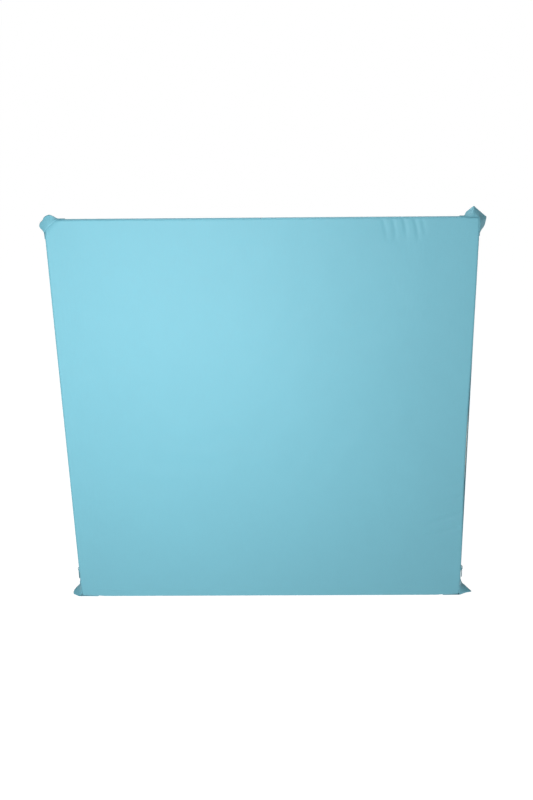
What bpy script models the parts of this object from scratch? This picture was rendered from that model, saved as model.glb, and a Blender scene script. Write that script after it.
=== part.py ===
"""Folding gym mat: two foam halves in one cloth cover, hinged along a vertical fold.

The mat stands on its bottom edge, opened flat. The origin is on the floor, below the
middle of the mat. X runs across both halves, Y through the thickness with the front
face towards -Y, and Z is up. The front face is one cloth that carries across the fold,
so the fold turns about a line just in front of it.
"""

import math

import bmesh
import bpy
from mathutils import Matrix, Vector

# Driving dimensions, in metres
WIDTH = 1.000
HEIGHT = 1.000
THICKNESS = 0.030
SKIN = 0.0008  # thickness of the cover cloth
GAP = 0.0003  # between pieces that touch
FOLD_SLIT = 0.0012  # between the two fold walls, open at the back
FOLD_CLEARANCE = 0.0006  # between the two faces when the mat is shut
CORNER_RADIUS = 0.012
FOAM_INSET = 0.0020  # from the outline of the cover to the foam

# Corner loops: a strap across each outer corner, sewn down at both ends
STRAP_WIDTH = 0.025
STRAP_THICKNESS = 0.0015
TAB_START = 0.033  # from the corner to where the strap leaves the cover
TAB_END = 0.045  # from the corner to the cut end of the strap
TOP_LOOP_PEAK = (-0.012, 0.021)  # outward across and upward from a top corner
TOP_LOOP_ELBOW = (0.015, -0.005)
BOTTOM_LOOP_TIP = 0.027  # how far the floor bend would reach if it were sharp
LOOP_BEND = 0.004
CORNER_LIFT = STRAP_THICKNESS + GAP  # a bottom corner sits on its strap

# Zip along each outer side
ZIP_SEAM = 0.060  # from the floor or the top to the short seam that ends the zip band
ZIP_MOUTH = 0.0035  # from the zip's centre line to the edge of the cloth beside it
CHAIN_END = 0.070  # from the floor or the top to the end of the coils
TAPE_WIDTH = 0.012
TAPE_THICKNESS = 0.0006
COIL_WIDTH = 0.0028
COIL_THICKNESS = 0.0016
STOP_LENGTH = 0.004
STOP_RISE = 0.0006  # how far a stop stands over the coils

# Zip slider, with its bail and its pull tab
SLIDER_LENGTH = 0.012
SLIDER_HALF_WIDTH = 0.0048
SLIDER_PLATE = 0.0012
FLANGE = 0.0013
BAIL_HALF_WIDTH = 0.0011
BAIL_FOOT = 0.0048  # from the slider's middle to the outside of a bail foot
BAIL_INSIDE = 0.0031  # from the slider's middle to the inside of a bail foot
BAIL_OPENING = 0.0021
BAIL_BAR = 0.0011
PULL_THICKNESS = 0.0012
PULL_LENGTH = 0.026
PULL_HALF_WIDTH = 0.0038
PULL_WINDOW = 0.0074
PULL_WINDOW_HALF_WIDTH = 0.0017

HALF_WIDTH = WIDTH / 2
HALF_THICKNESS = THICKNESS / 2
INNER = FOLD_SLIT / 2
BAND_HALF_DEPTH = HALF_THICKNESS - SKIN - GAP
STEP_X = HALF_WIDTH - TAB_END - GAP  # where the bottom edge steps up over the strap
HINGE_Y = -HALF_THICKNESS - FOLD_CLEARANCE / 2
COIL_TOP = HALF_WIDTH + COIL_THICKNESS / 2
SLIDER_TOP = COIL_TOP + GAP + SLIDER_PLATE
SLIDER_REST_Z = CHAIN_END + GAP + SLIDER_LENGTH / 2
PULL_AXIS_X = SLIDER_TOP + BAIL_OPENING / 2
PULL_AXIS_DROP = BAIL_INSIDE - BAIL_OPENING / 2
ARC_STEPS = 8

SIDES = {"left": -1, "right": 1}


def clear_scene():
    for obj in list(bpy.data.objects):
        bpy.data.objects.remove(obj, do_unlink=True)


def make_material(name, colour, roughness, metallic=0.0):
    material = bpy.data.materials.new(name)
    material.use_nodes = True
    shader = material.node_tree.nodes["Principled BSDF"]
    shader.inputs["Base Color"].default_value = (*colour, 1.0)
    shader.inputs["Roughness"].default_value = roughness
    shader.inputs["Metallic"].default_value = metallic
    return material


def arc(centre, radius, start_deg, end_deg):
    """Points along an arc in the plane of the face, from one angle to another."""
    points = []
    for i in range(ARC_STEPS + 1):
        angle = math.radians(start_deg + (end_deg - start_deg) * i / ARC_STEPS)
        across = centre[0] + radius * math.cos(angle)
        up = centre[1] + radius * math.sin(angle)
        points.append((across, up))
    return points


def bottom_corner(inset):
    centre = (HALF_WIDTH - CORNER_RADIUS, CORNER_LIFT + CORNER_RADIUS)
    return arc(centre, CORNER_RADIUS - inset, -90, 0)


def top_corner(inset):
    centre = (HALF_WIDTH - CORNER_RADIUS, HEIGHT - CORNER_RADIUS)
    return arc(centre, CORNER_RADIUS - inset, 0, 90)


def bottom_edge(inset, start):
    """The bottom edge from start outward, with its step up over the strap."""
    step = STEP_X - inset
    return [(start, inset), (step, inset), (step, CORNER_LIFT + inset)]


def half_outline(inset):
    """Outline of the right half of the mat, drawn in from its edge by inset."""
    inner = INNER + inset
    outline = bottom_edge(inset, inner)
    outline += bottom_corner(inset)
    outline += top_corner(inset)
    outline.append((inner, HEIGHT - inset))
    return outline


def rounded_path(corners, radius):
    """A path through corners, each inner corner turned into an arc of this radius."""
    path = [Vector(corners[0])]
    for before, corner, after in zip(corners, corners[1:], corners[2:]):
        corner = Vector(corner)
        towards = (Vector(before) - corner).normalized()
        away = (Vector(after) - corner).normalized()
        half_angle = towards.angle(away) / 2
        centre = corner + (towards + away).normalized() * radius / math.sin(half_angle)
        first = corner + towards * radius / math.tan(half_angle) - centre
        last = corner + away * radius / math.tan(half_angle) - centre
        turn = first.angle_signed(last)
        for i in range(ARC_STEPS + 1):
            spoke = first.copy()
            spoke.rotate(Matrix.Rotation(-turn * i / ARC_STEPS, 2))
            path.append(centre + spoke)
    path.append(Vector(corners[-1]))
    return path


def ribbon_outline(path, thickness):
    """Closed outline of a strip of even thickness that follows path."""
    one_side = []
    other_side = []
    last = len(path) - 1
    for i, point in enumerate(path):
        along = (path[min(i + 1, last)] - path[max(i - 1, 0)]).normalized()
        across = Vector((-along.y, along.x)) * thickness / 2
        one_side.append(point + across)
        other_side.append(point - across)
    return [(p.x, p.y) for p in one_side + other_side[::-1]]


def add_mesh(name, mesh_builder, material, origin=(0, 0, 0), parent=None):
    """One object from a bmesh built in world space, with its origin moved to origin."""
    mesh = bpy.data.meshes.new(name)
    bm = bmesh.new()
    mesh_builder(bm)
    bm.normal_update()
    bmesh.ops.recalc_face_normals(bm, faces=bm.faces)
    bmesh.ops.translate(bm, verts=bm.verts, vec=-Vector(origin))
    bm.to_mesh(mesh)
    bm.free()
    if material:
        mesh.materials.append(material)
    obj = bpy.data.objects.new(name, mesh)
    bpy.context.scene.collection.objects.link(obj)
    obj.location = origin
    attach(obj, parent)
    return obj


def attach(obj, parent):
    """Parents without moving the child. Parents here are moved but never turned."""
    if parent:
        obj.parent = parent
        obj.matrix_parent_inverse = Matrix.Translation(-world_place(parent))


def world_place(obj):
    """Every parent inverse cancels its parent's place, so a location is a world place."""
    return Vector(obj.location)


def add_axis(name, place, parent=None):
    empty = bpy.data.objects.new(name, None)
    empty.empty_display_size = 0.02
    bpy.context.scene.collection.objects.link(empty)
    empty.location = place
    attach(empty, parent)
    return empty


def prism(outline, y_low, y_high, side=1):
    """Builder of a solid with this outline in the XZ plane, from y_low to y_high."""

    def build(bm):
        verts = [bm.verts.new((side * x, y_low, z)) for x, z in outline]
        face = bm.faces.new(verts)
        grown = bmesh.ops.extrude_face_region(bm, geom=[face])
        moved = [v for v in grown["geom"] if isinstance(v, bmesh.types.BMVert)]
        bmesh.ops.translate(bm, verts=moved, vec=(0, y_high - y_low, 0))

    return build


def block(low, high, side=1):
    """Builder of a box between two corners, mirrored in X for the left side."""

    def build(bm):
        bmesh.ops.create_cube(bm, size=1)
        for vert in bm.verts:
            corner = [high[i] if vert.co[i] > 0 else low[i] for i in range(3)]
            vert.co = (side * corner[0], corner[1], corner[2])

    return build


def add_bevel(obj, width, segments=2):
    bevel = obj.modifiers.new("soft_edges", "BEVEL")
    bevel.width = width
    bevel.segments = segments
    bevel.limit_method = "ANGLE"


def add_boolean(obj, tool, operation):
    tool.hide_render = True
    tool.display_type = "WIRE"
    boolean = obj.modifiers.new(operation.lower(), "BOOLEAN")
    boolean.operation = operation
    boolean.solver = "EXACT"
    boolean.object = tool


def build_panels(side_name, parent, materials):
    """Foam core, front and back panels, and the bands round the edge of one half."""
    side = SIDES[side_name]
    cover = materials["cover"]
    outline = half_outline(0)
    front = -HALF_THICKNESS
    add_mesh(
        f"{side_name}_face_panel",
        prism(outline, front, front + SKIN, side),
        cover,
        parent=parent,
    )
    add_mesh(
        f"{side_name}_back_panel",
        prism(outline, HALF_THICKNESS - SKIN, HALF_THICKNESS, side),
        cover,
        parent=parent,
    )
    add_mesh(
        f"{side_name}_foam_core",
        prism(half_outline(FOAM_INSET), -BAND_HALF_DEPTH, BAND_HALF_DEPTH, side),
        materials["foam"],
        parent=parent,
    )
    add_mesh(
        f"{side_name}_fold_wall",
        block((INNER, -BAND_HALF_DEPTH, 0), (INNER + SKIN, BAND_HALF_DEPTH, HEIGHT), side),
        cover,
        parent=parent,
    )
    band_start = INNER + SKIN + GAP
    top_band = [(band_start, HEIGHT)] + top_corner(0)[::-1]
    top_band += [(HALF_WIDTH, HEIGHT - ZIP_SEAM), (HALF_WIDTH - SKIN, HEIGHT - ZIP_SEAM)]
    top_band += top_corner(SKIN) + [(band_start, HEIGHT - SKIN)]
    add_mesh(
        f"{side_name}_top_band",
        prism(top_band, -BAND_HALF_DEPTH, BAND_HALF_DEPTH, side),
        cover,
        parent=parent,
    )
    bottom_band = bottom_edge(0, band_start) + bottom_corner(0)
    bottom_band += [(HALF_WIDTH, ZIP_SEAM), (HALF_WIDTH - SKIN, ZIP_SEAM)]
    bottom_band += bottom_corner(SKIN)[::-1] + bottom_edge(SKIN, band_start)[::-1]
    add_mesh(
        f"{side_name}_bottom_band",
        prism(bottom_band, -BAND_HALF_DEPTH, BAND_HALF_DEPTH, side),
        cover,
        parent=parent,
    )


def build_zip(side_name, parent, materials):
    """The zip band: two cloth strips, two tapes, two coils and the chain's stops."""
    side = SIDES[side_name]
    seam_low = ZIP_SEAM + GAP
    seam_high = HEIGHT - ZIP_SEAM - GAP
    tape_top = HALF_WIDTH - SKIN - GAP
    tape_bottom = tape_top - TAPE_THICKNESS
    coil_bottom = COIL_TOP - COIL_THICKNESS
    for place, y_sign in (("front", -1), ("back", 1)):
        strip_y = sorted((y_sign * ZIP_MOUTH, y_sign * BAND_HALF_DEPTH))
        add_mesh(
            f"{side_name}_zip_band_{place}",
            block(
                (HALF_WIDTH - SKIN, strip_y[0], seam_low),
                (HALF_WIDTH, strip_y[1], seam_high),
                side,
            ),
            materials["cover"],
            parent=parent,
        )
        tape_y = sorted((y_sign * GAP / 2, y_sign * TAPE_WIDTH))
        add_mesh(
            f"{side_name}_zip_tape_{place}",
            block((tape_bottom, tape_y[0], seam_low), (tape_top, tape_y[1], seam_high), side),
            materials["zip_tape"],
            parent=parent,
        )
        coil_y = sorted((y_sign * GAP / 2, y_sign * (GAP / 2 + COIL_WIDTH)))
        coil = add_mesh(
            f"{side_name}_zip_coil_{place}",
            block(
                (coil_bottom, coil_y[0], CHAIN_END),
                (COIL_TOP, coil_y[1], HEIGHT - CHAIN_END),
                side,
            ),
            materials["zip_coil"],
            parent=parent,
        )
        add_bevel(coil, COIL_THICKNESS / 4)
        top_stop = add_mesh(
            f"{side_name}_zip_top_stop_{place}",
            block(
                (coil_bottom, coil_y[0], HEIGHT - CHAIN_END + GAP),
                (COIL_TOP + STOP_RISE, coil_y[1], HEIGHT - CHAIN_END + GAP + STOP_LENGTH),
                side,
            ),
            materials["zip_metal"],
            parent=parent,
        )
        add_bevel(top_stop, STOP_RISE / 2)
    bottom_stop = add_mesh(
        f"{side_name}_zip_bottom_stop",
        block(
            (coil_bottom, -GAP / 2 - COIL_WIDTH, CHAIN_END - GAP - STOP_LENGTH),
            (COIL_TOP + STOP_RISE, GAP / 2 + COIL_WIDTH, CHAIN_END - GAP),
            side,
        ),
        materials["zip_metal"],
        parent=parent,
    )
    add_bevel(bottom_stop, STOP_RISE / 2)


def build_slider(side_name, parent, materials):
    """The slider over the coils, its bail, and the pull tab that hangs from it."""
    side = SIDES[side_name]
    rest = (side * SLIDER_TOP, 0, SLIDER_REST_Z)
    slider_axis = add_axis(f"{side_name}_zip_slide_axis", rest, parent)
    half_length = SLIDER_LENGTH / 2
    slider = add_mesh(
        f"{side_name}_zip_slider",
        block(
            (HALF_WIDTH + GAP, -SLIDER_HALF_WIDTH, SLIDER_REST_Z - half_length),
            (SLIDER_TOP, SLIDER_HALF_WIDTH, SLIDER_REST_Z + half_length),
            side,
        ),
        materials["zip_metal"],
        origin=rest,
        parent=slider_axis,
    )
    add_bevel(slider, SLIDER_PLATE / 3)
    channel_half_width = SLIDER_HALF_WIDTH - FLANGE
    channel = add_mesh(
        f"{side_name}_slider_channel",
        block(
            (HALF_WIDTH - SKIN, -channel_half_width, SLIDER_REST_Z - SLIDER_LENGTH),
            (COIL_TOP + GAP, channel_half_width, SLIDER_REST_Z + SLIDER_LENGTH),
            side,
        ),
        None,
        origin=rest,
        parent=slider_axis,
    )
    add_boolean(slider, channel, "DIFFERENCE")
    embed = SLIDER_TOP - SLIDER_PLATE / 2
    bail_top = SLIDER_TOP + BAIL_OPENING
    bail_outline = [
        (embed, SLIDER_REST_Z - BAIL_FOOT),
        (bail_top + BAIL_BAR, SLIDER_REST_Z - BAIL_INSIDE),
        (bail_top + BAIL_BAR, SLIDER_REST_Z + BAIL_INSIDE),
        (embed, SLIDER_REST_Z + BAIL_FOOT),
        (embed, SLIDER_REST_Z + BAIL_INSIDE),
        (bail_top, SLIDER_REST_Z + BAIL_INSIDE),
        (bail_top, SLIDER_REST_Z - BAIL_INSIDE),
        (embed, SLIDER_REST_Z - BAIL_INSIDE),
    ]
    bail = add_mesh(
        f"{side_name}_slider_bail",
        prism(bail_outline, -BAIL_HALF_WIDTH, BAIL_HALF_WIDTH, side),
        None,
        origin=rest,
        parent=slider_axis,
    )
    add_boolean(slider, bail, "UNION")
    build_pull(side_name, slider_axis, materials)


def build_pull(side_name, parent, materials):
    """A flat tab whose top bar passes under the bail, with a window for its foot."""
    side = SIDES[side_name]
    axis_z = SLIDER_REST_Z - PULL_AXIS_DROP
    axis_place = (side * PULL_AXIS_X, 0, axis_z)
    pull_axis = add_axis(f"{side_name}_zip_pull_axis", axis_place, parent)
    bar = PULL_THICKNESS / 2
    pull = add_mesh(
        f"{side_name}_zip_pull",
        block(
            (PULL_AXIS_X - bar, -PULL_HALF_WIDTH, axis_z + bar - PULL_LENGTH),
            (PULL_AXIS_X + bar, PULL_HALF_WIDTH, axis_z + bar),
            side,
        ),
        materials["zip_metal"],
        origin=axis_place,
        parent=pull_axis,
    )
    window = add_mesh(
        f"{side_name}_pull_window",
        block(
            (
                PULL_AXIS_X - PULL_THICKNESS,
                -PULL_WINDOW_HALF_WIDTH,
                axis_z - bar - PULL_WINDOW,
            ),
            (PULL_AXIS_X + PULL_THICKNESS, PULL_WINDOW_HALF_WIDTH, axis_z - bar),
            side,
        ),
        None,
        origin=axis_place,
        parent=pull_axis,
    )
    add_boolean(pull, window, "DIFFERENCE")


def build_loops(side_name, parent, materials):
    """A strap over the top corner, and one round the bottom corner and under it."""
    side = SIDES[side_name]
    lie = GAP + STRAP_THICKNESS / 2  # from the cover to the middle of a strap on it
    under = STRAP_THICKNESS / 2
    top_route = [
        (-TAB_END, lie),
        (-TAB_START, lie),
        TOP_LOOP_PEAK,
        TOP_LOOP_ELBOW,
        (lie, -TAB_START),
        (lie, -TAB_END),
    ]
    bottom_route = [
        (lie, TAB_END),
        (lie, TAB_START),
        (BOTTOM_LOOP_TIP, under),
        (-TAB_END, under),
    ]
    for place, route, base in (("top", top_route, HEIGHT), ("bottom", bottom_route, 0)):
        path = [p + Vector((HALF_WIDTH, base)) for p in rounded_path(route, LOOP_BEND)]
        add_mesh(
            f"{side_name}_{place}_corner_loop",
            prism(
                ribbon_outline(path, STRAP_THICKNESS),
                -STRAP_WIDTH / 2,
                STRAP_WIDTH / 2,
                side,
            ),
            materials["strap"],
            parent=parent,
        )


def build_mat():
    clear_scene()
    materials = {
        "cover": make_material("cover_cloth", (0.27, 0.63, 0.74), 0.75),
        "strap": make_material("strap_cloth", (0.23, 0.56, 0.68), 0.80),
        "foam": make_material("foam", (0.86, 0.85, 0.78), 0.95),
        "zip_tape": make_material("zip_tape", (0.20, 0.52, 0.62), 0.85),
        "zip_coil": make_material("zip_coil", (0.18, 0.48, 0.58), 0.45),
        "zip_metal": make_material("zip_metal", (0.72, 0.72, 0.74), 0.30, 1.0),
    }
    root = add_axis("left_half", (0, 0, 0))
    fold_axis = add_axis("fold_axis", (0, HINGE_Y, HEIGHT / 2))
    for side_name, parent in (("left", root), ("right", fold_axis)):
        build_panels(side_name, parent, materials)
        build_zip(side_name, parent, materials)
        build_slider(side_name, parent, materials)
        build_loops(side_name, parent, materials)


build_mat()
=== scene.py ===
"""Looks of the folding gym mat: its cloth cover, foam, strap loops, zips and stitching.

Everything is in metres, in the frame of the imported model: X across the two halves, the
front face towards -Y, Z up. Places come from the boxes of the CAD nodes.
"""

import math

import bpy
import numpy as np
from mathutils import Euler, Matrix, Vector, noise


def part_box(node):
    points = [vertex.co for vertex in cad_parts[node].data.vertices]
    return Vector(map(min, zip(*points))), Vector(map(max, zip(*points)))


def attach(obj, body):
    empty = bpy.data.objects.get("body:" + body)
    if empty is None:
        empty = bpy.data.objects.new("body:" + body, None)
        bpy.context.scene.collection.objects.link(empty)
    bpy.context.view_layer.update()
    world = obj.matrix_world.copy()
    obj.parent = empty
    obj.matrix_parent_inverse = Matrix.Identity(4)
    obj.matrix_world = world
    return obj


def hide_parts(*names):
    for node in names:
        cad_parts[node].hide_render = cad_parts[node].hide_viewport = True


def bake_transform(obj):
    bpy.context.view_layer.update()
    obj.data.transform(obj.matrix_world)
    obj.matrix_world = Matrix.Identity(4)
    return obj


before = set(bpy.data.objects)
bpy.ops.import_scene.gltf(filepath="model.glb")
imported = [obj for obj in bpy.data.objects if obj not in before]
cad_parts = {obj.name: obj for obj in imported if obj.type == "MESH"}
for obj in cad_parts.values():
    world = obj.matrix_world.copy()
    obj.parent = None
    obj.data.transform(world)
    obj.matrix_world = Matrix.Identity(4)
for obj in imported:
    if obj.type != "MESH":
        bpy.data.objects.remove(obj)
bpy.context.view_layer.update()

# Places read from the frame
FACE_LOW, FACE_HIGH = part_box("right_face_panel")
BACK_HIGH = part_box("right_back_panel")[1]
WALL_LOW, WALL_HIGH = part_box("right_fold_wall")
STRIP_LOW, STRIP_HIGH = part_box("right_zip_band_back")
TAPE_LOW, TAPE_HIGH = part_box("right_zip_tape_back")
COIL_LOW, COIL_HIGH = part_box("right_zip_coil_back")
SLIDER_LOW, SLIDER_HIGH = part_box("right_zip_slider")
PULL_LOW, PULL_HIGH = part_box("right_zip_pull")
HALF_WIDTH = FACE_HIGH.x
HEIGHT = FACE_HIGH.z
FRONT = FACE_LOW.y
BACK = BACK_HIGH.y
SLIT = WALL_LOW.x  # half of the slit between the two halves
SKIN = WALL_HIGH.x - WALL_LOW.x  # thickness of the cover cloth
MOUTH = STRIP_LOW.y  # from the zip's centre line to the cloth beside it
ZIP_SEAM = STRIP_LOW.z  # height of the short seam that ends the zip band

# Shape of the cover
EDGE_RADIUS = 0.0035  # how softly the cloth rolls over the foam's edge
CORNER_RADIUS = 0.006
SEAM_ANGLE = math.radians(45)  # the seam lies half way round the rolled edge
SEAM_DEPTH = 0.0005
SEAM_WIDTH = 0.0022
PUCKER_DEPTH = 0.0004
PUCKER_REACH = 0.008
PUCKER_PITCH = 0.011
WAVE_DEPTH = 0.0005  # slow waviness of the cover's edges
WAVE_PITCH = 0.16
BAND_CROWN = 0.0002
CORNER_LIFT = 0.0013  # a bottom corner stands on the strap tucked under it
LIFT_START = 0.436
LIFT_END = 0.4535
LIFT_FADE = 0.060
FACE_CELL = 0.006
EDGE_CELL = 0.0025
EDGE_ZONE = 0.060
ROLL_STEPS = 8
BAND_CELL = 0.003

# Strap loops
STRAP_THICKNESS = 0.0011
STRAP_STITCH_INSET = 0.0028

# Zip and stitching
COIL_TURNS = 500
COIL_SIDES = 5
TURN_POINTS = 8
COIL_WIRE = 0.00025
COIL_CROSSING = 0.0003  # how far the head of a turn reaches past the centre line
STITCH_LENGTH = 0.0031
STITCH_GAP = 0.0009
THREAD_RADIUS = 0.00022

SIDES = {"left": -1, "right": 1}
SEED = 7


# ---------------------------------------------------------------- meshes


def smoothstep(value):
    value = np.clip(value, 0, 1)
    return value * value * (3 - 2 * value)


def mirrored(points, side):
    turned = points.copy()
    turned[..., 0] *= side
    return turned


def unit(vectors):
    return vectors / np.maximum(np.linalg.norm(vectors, axis=-1, keepdims=True), 1e-12)


def along_lengths(points):
    steps = np.linalg.norm(np.diff(points, axis=0), axis=-1)
    return np.concatenate([[0], np.cumsum(steps)])


def noise_at(points, seed):
    """Smooth noise from -1 to 1 at each of an array of 3-D points."""
    flat = points.reshape(-1, 3)
    values = [noise.noise(Vector((x, y, z + 17.3 * seed))) for x, y, z in flat.tolist()]
    return np.array(values).reshape(points.shape[:-1])


def add_mesh(name, points, faces, material, uvs=None, smooth=True):
    """One object from arrays of points and faces, with UVs in metres along the cloth."""
    mesh = bpy.data.meshes.new(name)
    mesh.from_pydata(points.reshape(-1, 3).tolist(), [], faces)
    if uvs is not None:
        layer = mesh.uv_layers.new(name="cloth")
        corners = np.empty(len(mesh.loops), np.int32)
        mesh.loops.foreach_get("vertex_index", corners)
        layer.data.foreach_set("uv", uvs.reshape(-1, 2)[corners].astype(np.float32).ravel())
    mesh.polygons.foreach_set("use_smooth", [smooth] * len(mesh.polygons))
    mesh.materials.append(material)
    obj = bpy.data.objects.new(name, mesh)
    bpy.context.scene.collection.objects.link(obj)
    return obj


def grid_faces(rows, columns, wrap_rows=False, wrap_columns=False):
    index = np.arange(rows * columns).reshape(rows, columns)
    if wrap_rows:
        index = np.concatenate([index, index[:1]], axis=0)
    if wrap_columns:
        index = np.concatenate([index, index[:, :1]], axis=1)
    quads = [index[:-1, :-1], index[1:, :-1], index[1:, 1:], index[:-1, 1:]]
    return np.stack(quads, axis=-1).reshape(-1, 4)


def ring_faces(points, wrap_rows=False):
    """Outward faces of a closed body made of rings of points, with its two ends capped."""
    rows, count = points.shape[:2]
    quads = grid_faces(rows, count, wrap_rows, wrap_columns=True)
    flat = points.reshape(-1, 3) - points.reshape(-1, 3).mean(axis=0)
    a, b, c, d = (flat[quads[:, i]] for i in range(4))
    faces = quads.tolist()
    volume = (a * np.cross(b, c)).sum() + (a * np.cross(c, d)).sum()
    if not wrap_rows:
        faces += [list(range(count)), list(range((rows - 1) * count, rows * count))[::-1]]
        for cap in faces[-2:]:
            ring = flat[cap]
            volume += (ring[0] * np.cross(ring[1:-1], ring[2:])).sum()
    return faces if volume > 0 else [face[::-1] for face in faces]


def claim(obj, body, node):
    """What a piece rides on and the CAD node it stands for."""
    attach(obj, body)
    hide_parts(node)


class Bodies:
    """Collects closed bodies that are built as one object."""

    def __init__(self):
        self.points = []
        self.faces = []

    def add(self, points, wrap_rows=False):
        first = sum(len(part) for part in self.points)
        for face in ring_faces(points, wrap_rows):
            self.faces.append([index + first for index in face])
        self.points.append(points.reshape(-1, 3))

    def build(self, name, body, material, side=1, node=None, slot=None):
        """The bodies as one object, which stands for a CAD node if one is named."""
        points = np.concatenate(self.points)
        faces = self.faces
        if side < 0:
            points = mirrored(points, side)
            faces = [face[::-1] for face in faces]
        obj = add_mesh(name, points, faces, material)
        if node:
            claim(obj, body, node)
        else:
            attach(obj, body)


def outward_faces(points, faces, middle):
    """The faces, all turned over if most of them look towards middle."""
    flat = points.reshape(-1, 3)
    corners = flat[faces]
    normals = np.cross(corners[:, 2] - corners[:, 0], corners[:, 3] - corners[:, 1])
    outward = (normals * (corners.mean(axis=1) - np.array(middle))).sum()
    return faces if outward > 0 else faces[:, ::-1]


def add_cloth(name, points, uvs, material, middle):
    """A sheet of cloth from a grid of points, as thick as the cover's skin."""
    faces = grid_faces(*points.shape[:2])
    faces = outward_faces(points, faces, middle)
    obj = add_mesh(name, points, faces.tolist(), material, uvs)
    solid = obj.modifiers.new("cloth_thickness", "SOLIDIFY")
    solid.thickness = SKIN
    solid.offset = -1
    return obj


# ---------------------------------------------------------------- how the cover lies


def roll(length):
    """How far out and how far back cloth gets, this far along it past the inner outline."""
    flat = CORNER_RADIUS - EDGE_RADIUS
    angle = np.clip((length - flat) / EDGE_RADIUS, 0, math.pi / 2)
    out = np.minimum(length, flat) + EDGE_RADIUS * np.sin(angle)
    back = EDGE_RADIUS * (1 - np.cos(angle))
    return out, back, angle


ROLL_LENGTH = CORNER_RADIUS - EDGE_RADIUS + EDGE_RADIUS * SEAM_ANGLE


def edge_inset(y):
    """How far the rolled edge draws in from the outline, at a depth through the mat."""
    near_face = np.minimum(y - FRONT, BACK - y)
    along = np.clip(EDGE_RADIUS - near_face, 0, EDGE_RADIUS)
    return EDGE_RADIUS - np.sqrt(EDGE_RADIUS**2 - along**2)


def pucker(points, seed):
    """Small gathers along a seam, from 0 to 1."""
    return np.abs(noise_at(points / PUCKER_PITCH, seed)) ** 0.7


def near_front(y):
    """1 at the front face, fading to 0 at the middle of the thickness."""
    return 1 - smoothstep((y - FRONT) / -FRONT)


# Each corner: inward pull of the cover in metres, how deep the front is pressed back
CORNERS = {
    (-1, 1): (0.0030, 0.0042),
    (1, 1): (0.0010, 0.0006),
    (-1, 0): (0.0020, 0.0008),
    (1, 0): (0.0020, 0.0006),
}
CORNER_REACH = 0.045
PRESS_REACH = 0.030
RIGHT_BOW = 0.0046  # the right edge draws in by this much, a little below its middle
BOW_HEIGHT = 0.42
BOW_SPREAD = 0.24
BOW_REACH = 0.22
TOP_SAG = 0.0030  # the top band slopes down towards the back
TOP_SAG_REACH = 0.040
SAG_START = -0.0100


def drawn_in(points):
    """Moves points with the cover where it sags and where its edges draw in."""
    moved = points.copy()
    x, y, z = (points[..., i] for i in range(3))
    front = near_front(y)
    bow = RIGHT_BOW * np.exp(-(((z - BOW_HEIGHT) / BOW_SPREAD) ** 2))
    moved[..., 0] -= bow * front * smoothstep(1 - (HALF_WIDTH - x) / BOW_REACH)
    for (side, top), (pull, _) in CORNERS.items():
        distance = np.hypot((side * HALF_WIDTH - x) * side, HEIGHT - z if top else z)
        weight = smoothstep(1 - distance / CORNER_REACH) * front * pull / math.sqrt(2)
        moved[..., 0] -= side * weight
        moved[..., 2] -= (1 if top else -1) * weight
    near_top = smoothstep(1 - (HEIGHT - z) / TOP_SAG_REACH)
    moved[..., 2] -= TOP_SAG * near_top * smoothstep((y - SAG_START) / (BACK - SAG_START))
    return moved


def settle(points):
    """Moves points of the cover for the straps and for how it was sewn and used."""
    moved = drawn_in(points)
    x, y, z = (points[..., i] for i in range(3))
    raised = smoothstep((np.abs(x) - LIFT_START) / (LIFT_END - LIFT_START))
    moved[..., 2] += CORNER_LIFT * raised * np.clip(1 - z / LIFT_FADE, 0, 1)
    for (side, top), (_, press) in CORNERS.items():
        diagonal = (side * HALF_WIDTH - x) * side + (HEIGHT - z if top else z)
        weight = smoothstep(1 - diagonal / math.sqrt(2) / PRESS_REACH)
        moved[..., 1] += press * weight * near_front(y)
    moved[..., 2] = np.maximum(moved[..., 2], 0)
    return moved


def edge_wave(points, seed):
    """Slow in-and-out waviness of the cover's edge, always inward."""
    return WAVE_DEPTH * (0.5 + 0.5 * noise_at(points / WAVE_PITCH, seed))


def seam_dip(distance, points, seed):
    """How far cloth is drawn in at this distance from a seam, with its puckers."""
    line = SEAM_DEPTH * np.exp(-((distance / SEAM_WIDTH) ** 2))
    reach = np.exp(-((distance / PUCKER_REACH) ** 2))
    return line + PUCKER_DEPTH * reach * pucker(points, seed)


def grid_lines(low, high, cell, edge_cell, edge_zone):
    """Places of grid lines from low to high, closer together near both ends."""
    start = np.arange(0, edge_zone, edge_cell)
    count = round((high - low - 2 * edge_zone) / cell)
    middle = np.linspace(low + edge_zone, high - edge_zone, count + 1)
    return np.concatenate([low + start, middle, high - start[::-1]])


def cloth_lines(low, high):
    """Grid lines for a panel between two outlines, out over the roll to its seams."""
    rolled = np.linspace(0, ROLL_LENGTH, ROLL_STEPS + 1)[1:]
    low, high = low + CORNER_RADIUS, high - CORNER_RADIUS
    inner = grid_lines(low, high, FACE_CELL, EDGE_CELL, EDGE_ZONE)
    return np.concatenate([low - rolled[::-1], inner, high + rolled]), low, high


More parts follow.
